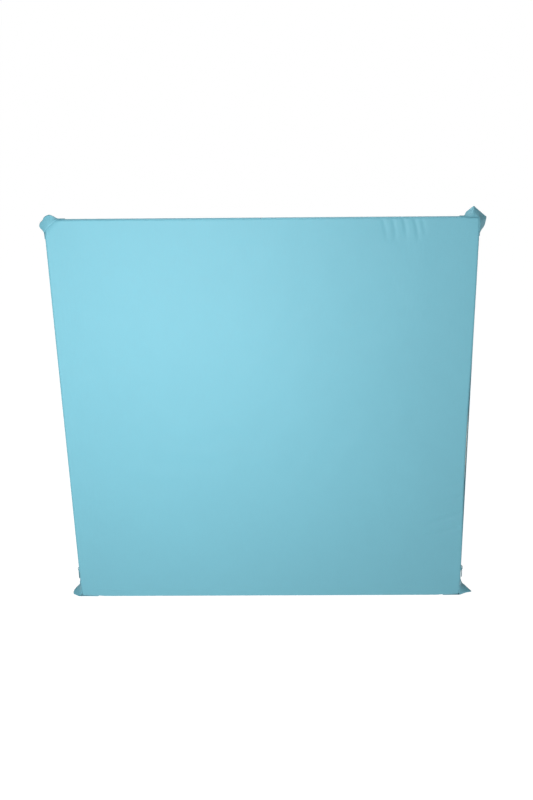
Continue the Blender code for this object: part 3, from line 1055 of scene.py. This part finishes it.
def build_loop(side_name, place, material, thread):
    side = SIDES[side_name]
    edges = []
    for edge in LOOPS[side_name, place]:
        curve = even_curve(edge, RIBBON_ROWS)
        curve[:, 0] = side * (HALF_WIDTH + curve[:, 0])
        if place == "top":
            curve[:, 2] += HEIGHT
        else:
            curve[:, 2] = np.maximum(curve[:, 2], ON_FLOOR)
        edges.append(curve)
    surface, normals = ribbon_middle(*(drawn_in(edge) for edge in edges))
    middle = np.array((side * HALF_WIDTH * 0.9, 0, HEIGHT - 0.05 if place == "top" else 0.05))
    outward = 1 if ((surface - middle) * normals).sum() > 0 else -1
    normals = normals * outward
    camber = np.sin(math.pi * np.linspace(0, 1, RIBBON_COLUMNS)) * RIBBON_CAMBER
    free = np.sin(math.pi * np.linspace(0, 1, len(surface))) ** 0.5
    if place == "bottom":
        free *= surface[:, RIBBON_COLUMNS // 2, 2] > 2 * ON_FLOOR
    surface = surface + normals * camber[None, :, None] * free[:, None, None]
    loop = add_ribbon(f"{side_name}_{place}_loop", surface, normals, material)
    claim(loop, f"{side_name}_half", f"{side_name}_{place}_corner_loop")
    stitch_strap(surface + normals * STRAP_THICKNESS / 2, normals, place, thread)


# ---------------------------------------------------------------- stitching


STITCH_SIDES = 5
STITCH_SHAPE = (  # share of the length, height and thickness in thread radii
    (0.0, -0.9, 0.55),
    (0.12, 0.1, 1.0),
    (0.5, 0.5, 1.0),
    (0.88, 0.1, 1.0),
    (1.0, -0.9, 0.55),
)


def add_stitches(thread, line, normals):
    """Stitches along a line of points, each with the normal of the cloth there."""
    at = along_lengths(line)
    pitch = STITCH_LENGTH + STITCH_GAP
    count = max(1, int((at[-1] + STITCH_GAP) / pitch))
    spare = (at[-1] - count * pitch + STITCH_GAP) / 2
    turns = np.arange(STITCH_SIDES) * 2 * math.pi / STITCH_SIDES
    share, height, thickness = (np.array(column) for column in zip(*STITCH_SHAPE))
    for number in range(count):
        spots = spare + number * pitch + share * STITCH_LENGTH
        centre = np.stack([np.interp(spots, at, line[:, k]) for k in range(3)], axis=-1)
        normal = np.stack([np.interp(spots, at, normals[:, k]) for k in range(3)], axis=-1)
        normal = unit(normal)
        across = unit(np.cross(normal, centre[-1] - centre[0]))
        spokes = across[:, None] * np.cos(turns)[:, None] + normal[:, None] * np.sin(turns)[:, None]
        middle = centre + normal * (height * THREAD_RADIUS)[:, None]
        rings = middle[:, None] + spokes * (thickness * THREAD_RADIUS)[:, None, None]
        thread.add(kept_clear(rings))


def stitch_strap(outer, normals, place, thread):
    """A line of stitches along each edge of a strap, and boxes where it is sewn down."""
    off_floor = np.flatnonzero(outer[:, RIBBON_COLUMNS // 2, 2] > 2 * STRAP_THICKNESS)
    first, last = off_floor[0], off_floor[-1] + 1
    share = STRAP_STITCH_INSET / (2 * HALF_STRAP)
    for share in (share, 1 - share):
        at = share * (RIBBON_COLUMNS - 1)
        low, part = int(at), at - int(at)
        line = outer[:, low] * (1 - part) + outer[:, low + 1] * part
        add_stitches(thread, line[first:last], normals[first:last, low])
    ends = (2, 6, -3, -7) if place == "top" else (2, 6)
    for row in ends:
        add_stitches(thread, outer[row, 1:-1], normals[row, 1:-1])


THREAD_INSET = 0.0003  # the hem's stitches lie this far inside the outline


def stitch_zip_band(side_name, thread):
    """A line of stitches down each hem beside the zip."""
    side = SIDES[side_name]
    height = np.linspace(STRIP_LOW.z + 0.002, STRIP_HIGH.z - 0.002, 60)
    sideways = np.tile((side, 0.0, 0.0), (len(height), 1))
    for y in (-MOUTH - HEM_STITCH, MOUTH + HEM_STITCH):
        x = np.full_like(height, side * (HALF_WIDTH - THREAD_INSET))
        line = np.stack([x, np.full_like(height, y), height], axis=-1)
        add_stitches(thread, line, sideways)


# ---------------------------------------------------------------- zip


def tube_rings(path, section, up):
    """Rings of a section swept along a path. A section point is (across, along up)."""
    along = unit(np.gradient(path, axis=0))
    across = unit(np.cross(along, up))
    up = np.cross(across, along)
    section = np.array(section)
    return (
        path[:, None]
        + across[:, None] * section[:, 0][:, None]
        + up[:, None] * section[:, 1][:, None]
    )


def round_section(half_width, half_height, corner, steps=3):
    """A rounded rectangle as points (across, up), anticlockwise."""
    points = []
    for quarter, (a, b) in enumerate(((1, 1), (-1, 1), (-1, -1), (1, -1))):
        for angle in np.linspace(0, math.pi / 2, steps) + quarter * math.pi / 2:
            across = a * (half_width - corner) + corner * math.cos(angle)
            points.append((across, b * (half_height - corner) + corner * math.sin(angle)))
    return points


def build_coil(side_name, place, material):
    """A nylon coil: one wire wound flat, its turns meshing with the other coil's."""
    side = SIDES[side_name]
    y_sign = 1 if place == "back" else -1
    low, high = COIL_LOW.z, COIL_HIGH.z
    pitch = (high - low - 2 * COIL_WIRE) / (COIL_TURNS + 0.5)
    turn = np.arange(COIL_TURNS * TURN_POINTS + 1) / TURN_POINTS
    phase = 2 * math.pi * turn
    height = low + COIL_WIRE + pitch * (turn + (0.5 if y_sign > 0 else 0))
    near, far = -COIL_CROSSING + COIL_WIRE, COIL_HIGH.y - COIL_WIRE
    y = (near + far) / 2 - (far - near) / 2 * np.cos(phase)
    half_height = (COIL_HIGH.x - COIL_LOW.x) / 2 - COIL_WIRE
    x = (COIL_LOW.x + COIL_HIGH.x) / 2 + half_height * np.sin(phase)
    path = np.stack([x, y_sign * y, height], axis=-1)
    turns = np.arange(COIL_SIDES) * 2 * math.pi / COIL_SIDES
    section = np.stack([np.cos(turns), np.sin(turns)], axis=-1) * COIL_WIRE
    wire = Bodies()
    wire.add(tube_rings(path, section, (0, 0, 1.0)))
    name = f"{side_name}_coil_{place}"
    node = f"{side_name}_zip_coil_{place}"
    wire.build(name, f"{side_name}_half", material, side, node, "zip_coil")


TAPE_BEAD = 0.0002  # the woven edge beside the coil is thicker by this
TAPE_BEAD_WIDTH = 0.0005


def build_tape(side_name, place, material):
    """Woven tape under the hem, with a thicker woven edge beside the coil."""
    side = SIDES[side_name]
    across = np.linspace(TAPE_LOW.y, TAPE_HIGH.y, 25)
    up = np.linspace(TAPE_LOW.z, TAPE_HIGH.z, 120)
    bead = TAPE_BEAD * np.exp(-(((across - COIL_HIGH.y) / TAPE_BEAD_WIDTH) ** 2))
    ring_x = np.concatenate([TAPE_HIGH.x + bead, np.full_like(across, TAPE_LOW.x)])
    ring_y = np.concatenate([across, across[::-1]])
    z, x = np.meshgrid(up, ring_x, indexing="ij")
    y = np.broadcast_to(ring_y, z.shape)
    points = np.stack([side * x, y if place == "back" else -y, z], axis=-1)
    uvs = np.stack([z, y], axis=-1)
    name = f"{side_name}_tape_{place}"
    tape = add_mesh(name, points, ring_faces(points), material, uvs, smooth=False)
    claim(tape, f"{side_name}_half", f"{side_name}_zip_tape_{place}")


def smooth_loop(corners, steps):
    """A closed outline through corners (y, z), each rounded by a quadratic curve."""
    corners = np.array(corners)
    before = (corners + np.roll(corners, 1, axis=0)) / 2
    after = (corners + np.roll(corners, -1, axis=0)) / 2
    points = []
    for start, corner, end in zip(before, corners, after):
        for t in np.arange(steps) / steps:
            points.append(start * (1 - t) ** 2 + 2 * corner * t * (1 - t) + end * t**2)
    return np.array(points)


def slab_rings(outline, low_x, high_x, bevel):
    """Rings of a plate with bevelled rims, over an outline of (y, z) points."""
    centre = outline.mean(axis=0)
    spokes = unit(outline - centre)
    rings = []
    for inset, x in ((bevel, low_x), (0, low_x + bevel), (0, high_x - bevel), (bevel, high_x)):
        edge = outline - spokes * inset
        rings.append(np.column_stack([np.full(len(edge), x), edge]))
    return np.array(rings)


def build_metal(parts, body, side_name, node, material):
    """A moving metal piece of the zip, named after the body it rides on."""
    parts.build(
        f"{body}_metal", body, material, SIDES[side_name], f"{side_name}_{node}", "zip_metal"
    )


SLIDER_SHAPE = [  # corners of half of the slider's plate, as shares of its half sizes
    (0.62, 1.14), (0.84, 0.50), (1.10, 0.00), (1.16, -0.62), (0.66, -1.14),
]
PLATE = 0.0012
FLANGE = 0.0012
BAIL_OPENING = 0.0021
PLATE_TOP = (PULL_LOW.x + PULL_HIGH.x) / 2 - BAIL_OPENING / 2
BAIL_ARCH = [(-0.0006, 0.0040), (0.0012, 0.0038), (0.0022, 0.0035), (0.00265, 0.0026)]
METAL_BEVEL = 0.0003


def arch_path(half_arch):
    """A smooth arch over z = 0 from half of it, given as (x, z) from foot to top."""
    feet = [(x, 0, -z) for x, z in half_arch]
    return smooth_curve(feet + [(half_arch[-1][0], 0, 0)] + [(x, y, -z) for x, y, z in feet[::-1]])


def build_slider(side_name, material):
    """Shield-shaped top plate, two flanges down to the hems, and an arched bail."""
    half_width = SLIDER_HIGH.y
    half_length = (SLIDER_HIGH.z - SLIDER_LOW.z) / 2
    middle_z = (SLIDER_LOW.z + SLIDER_HIGH.z) / 2
    right = [(y * half_width, z * half_length) for y, z in SLIDER_SHAPE]
    outline = smooth_loop(right + [(-y, z) for y, z in right[::-1]], 5)
    outline[:, 1] += middle_z
    slider = Bodies()
    slider.add(slab_rings(outline, PLATE_TOP - PLATE, PLATE_TOP, METAL_BEVEL))
    for y_sign in (-1, 1):
        inner, outer = half_width - FLANGE, half_width
        corners = [(inner, 1.0), (outer, 0.5), (outer, -0.9), (inner, -1.0)]
        flange = smooth_loop([(y_sign * y, z * half_length) for y, z in corners], 4)
        flange[:, 1] += middle_z
        slider.add(slab_rings(flange, SLIDER_LOW.x, PLATE_TOP - PLATE / 2, METAL_BEVEL / 3))
    path = arch_path(BAIL_ARCH) + np.array((PLATE_TOP, 0, middle_z))
    slider.add(tube_rings(path, round_section(0.0011, 0.00055, 0.0004), (1.0, 0, 0.01)))
    build_metal(slider, f"{side_name}_slider", side_name, "zip_slider", material)


PULL_OUTER = [  # corners of half of the tab's outline, (y, z) from its bar, going down
    (0.0030, 0.0006), (0.0033, -0.0040), (0.0034, -0.0110), (0.0041, -0.0190), (0.0036, -0.0262),
]
PULL_WINDOW = [
    (0.0017, -0.0004), (0.0018, -0.0022), (0.0018, -0.0042), (0.0018, -0.0062),
    (0.0014, -0.0084),
]
PULL_HALF_THICKNESS = 0.00045
GRIP_RIBS = [-0.0135, -0.0153, -0.0171, -0.0189, -0.0207]
GRIP_RADIUS = 0.00042


def build_pull(side_name, material):
    """A tapered tab with a window for the bail, rounded rims and ribs to grip."""
    middle_x = (PULL_LOW.x + PULL_HIGH.x) / 2
    bar_z = PULL_HIGH.z - (PULL_HIGH.x - PULL_LOW.x) / 2
    loops = []
    for half in (PULL_WINDOW, PULL_OUTER):
        loops.append(smooth_loop(half + [(-y, z) for y, z in half[::-1]], 5))
    inner, outer = loops
    spokes = unit(outer - inner)
    rim = METAL_BEVEL
    section = []
    for edge, inset, x in (
        (inner, 0, -1 + 0.6),
        (inner, rim, -1),
        (outer, -rim, -1),
        (outer, 0, -1 + 0.6),
        (outer, 0, 1 - 0.6),
        (outer, -rim, 1),
        (inner, rim, 1),
        (inner, 0, 1 - 0.6),
    ):
        at = edge + spokes * inset
        x = np.full(len(at), middle_x + x * PULL_HALF_THICKNESS)
        section.append(np.column_stack([x, at[:, 0], bar_z + at[:, 1]]))
    pull = Bodies()
    pull.add(np.stack(section, axis=1), wrap_rows=True)
    for z in GRIP_RIBS:
        for face in (-1, 1):
            x = middle_x + face * (PULL_HALF_THICKNESS - 0.0002)
            across = np.linspace(-0.0024, 0.0024, 7)
            path = np.column_stack([np.full(7, x), across, np.full(7, bar_z + z)])
            path[[0, -1], 0] -= face * 0.0001
            pull.add(tube_rings(path, round_section(GRIP_RADIUS, 0.00035, 0.0002), (1.0, 0, 0)))
    build_metal(pull, f"{side_name}_pull", side_name, "zip_pull", material)


STAPLE = 0.0003  # half the thickness of a stop's strips
STOPS = ["zip_bottom_stop", "zip_top_stop_front", "zip_top_stop_back"]


def build_stop(side_name, stop, material):
    """A metal staple bent over the end of the coils and crimped."""
    low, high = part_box(f"right_{stop}")
    half_width, half_length = (high.y - low.y) / 2, (high.z - low.z) / 2
    rise = high.x - low.x - STAPLE
    shape = [(0, 0.92), (0.5, 0.94), (0.9, 0.78), (1.0, 0.35)]
    half = [(x * rise, (half_width - STAPLE) * z / 0.94) for x, z in shape]
    path = arch_path(half)[:, [0, 2, 1]] + np.array((low.x, (low.y + high.y) / 2, 0))
    path[:, 2] = (low.z + high.z) / 2
    staple = Bodies()
    for share in (-0.62, 0, 0.62):
        strip = path + np.array((0, 0, share * half_length))
        section = round_section(half_length * 0.36, STAPLE, 0.0002)
        staple.add(tube_rings(strip, section, (1.0, 0.01, 0)))
    name = f"{side_name}_{stop}"
    staple.build(f"{name}_metal", f"{side_name}_half", material, SIDES[side_name], name, "zip_metal")


# ---------------------------------------------------------------- stage


CAMERA_PLACE = (0.1169, -2.3162, 1.4465)
CAMERA_TURN = 0.643  # degrees to the left
CAMERA_DOWN = 21.179
CAMERA_ROLL = -0.561
CAMERA_LENS = 45.50  # mm
CAMERA_SENSOR = 36
CAMERA_SHIFT = -0.0455  # as if the picture were cut from the right of a wider one


def build_camera():
    camera_data = bpy.data.cameras.new("camera")
    camera_data.lens = CAMERA_LENS
    camera_data.sensor_width = CAMERA_SENSOR
    camera_data.shift_x = CAMERA_SHIFT
    camera = bpy.data.objects.new("camera", camera_data)
    bpy.context.scene.collection.objects.link(camera)
    camera.location = CAMERA_PLACE
    turn = Euler((math.radians(90 - CAMERA_DOWN), 0, math.radians(CAMERA_TURN))).to_matrix()
    tilt = Euler((0, 0, math.radians(CAMERA_ROLL))).to_matrix()
    camera.rotation_euler = (turn @ tilt).to_euler()
    bpy.context.scene.camera = camera


FLOOR_RADIUS = 120.0
FLOOR_GLOW = 0.97
FLOOR_COLOUR = 0.12
WORLD_STOPS = [(0.0, 1.0), (0.56, 1.0), (0.62, 0.40), (1.0, 0.10)]  # from below to above


def build_floor():
    angles = np.linspace(0, 2 * math.pi, 65)[:-1]
    ring = np.stack([np.cos(angles), np.sin(angles), np.zeros(64)], axis=-1) * FLOOR_RADIUS
    nodes = Nodes("pale_floor")
    grain = nodes.noise(nodes.object_place((2, 2, 2)), 2.0)
    stops = [(0.0, (FLOOR_COLOUR * 0.97,) * 3), (1.0, (FLOOR_COLOUR * 1.03,) * 3)]
    nodes.link(nodes.ramp(grain, stops), nodes.shader.inputs["Base Color"])
    nodes.set(Roughness=1.0, Specular_IOR_Level=0.0, Emission_Strength=FLOOR_GLOW)
    nodes.shader.inputs["Emission Color"].default_value = (1, 1, 1, 1)
    floor = add_mesh("floor", ring, [list(range(64))], nodes.material)


def build_world():
    """Soft light from all round, weaker from above, and a white backdrop."""
    world = bpy.data.worlds.new("studio")
    bpy.context.scene.world = world
    world.use_nodes = True
    tree = world.node_tree
    spot = tree.nodes.new("ShaderNodeTexCoord")
    parts = tree.nodes.new("ShaderNodeSeparateXYZ")
    height = tree.nodes.new("ShaderNodeMapRange")
    height.inputs["From Min"].default_value = -1
    ramp = tree.nodes.new("ShaderNodeValToRGB")
    fill_ramp(ramp, [(position, (value,) * 3) for position, value in WORLD_STOPS])
    tree.links.new(spot.outputs["Generated"], parts.inputs[0])
    tree.links.new(parts.outputs["Z"], height.inputs["Value"])
    tree.links.new(height.outputs["Result"], ramp.inputs["Fac"])
    tree.links.new(ramp.outputs["Color"], tree.nodes["Background"].inputs["Color"])
    backdrop = tree.nodes.new("ShaderNodeBackground")
    path = tree.nodes.new("ShaderNodeLightPath")
    mix = tree.nodes.new("ShaderNodeMixShader")
    backdrop.inputs["Color"].default_value = (1, 1, 1, 1)
    tree.links.new(path.outputs["Is Camera Ray"], mix.inputs["Fac"])
    tree.links.new(tree.nodes["Background"].outputs[0], mix.inputs[1])
    tree.links.new(backdrop.outputs[0], mix.inputs[2])
    tree.links.new(mix.outputs[0], tree.nodes["World Output"].inputs["Surface"])


LIGHTS = {  # place, aim, size, watts
    "key": ((-0.315, -1.36, 0.720), (-0.315, 0, 0.720), 0.30, 27),
    "top": ((0.0, 0.12, 2.00), (0, 0.12, 1.0), 1.00, 15),
}


def build_lights():
    for name, (place, aim, size, power) in LIGHTS.items():
        data = bpy.data.lights.new(name, "AREA")
        data.shape = "DISK"
        data.size = size
        data.energy = power
        light = bpy.data.objects.new(name, data)
        bpy.context.scene.collection.objects.link(light)
        light.location = place
        facing = Vector(aim) - Vector(place)
        light.rotation_euler = facing.to_track_quat("-Z", "Y").to_euler()


def build_stage():
    bpy.context.scene.view_settings.view_transform = "Standard"
    build_camera()
    build_world()
    build_floor()
    build_lights()


# ---------------------------------------------------------------- the whole mat


def build_mat():
    materials = make_materials()
    for side_name in SIDES:
        build_foam(side_name, materials["foam"])
    build_front(materials["cover"])
    for side_name in SIDES:
        build_back(side_name, materials["cover"])
        build_fold_wall(side_name, materials["cover"])
        for place in ("top", "bottom"):
            build_end_band(side_name, place, materials["cover"])
        for place in ("front", "back"):
            build_zip_strip(side_name, place, materials["cover"])
            build_coil(side_name, place, materials["coil"])
            build_tape(side_name, place, materials["tape"])
        thread = Bodies()
        for place in ("top", "bottom"):
            build_loop(side_name, place, materials["strap"], thread)
        stitch_zip_band(side_name, thread)
        thread.build(f"{side_name}_stitching", f"{side_name}_half", materials["thread"])
        build_slider(side_name, materials["metal"])
        build_pull(side_name, materials["metal"])
        for stop in STOPS:
            build_stop(side_name, stop, materials["metal"])


build_stage()
build_mat()

bpy.context.view_layer.update()
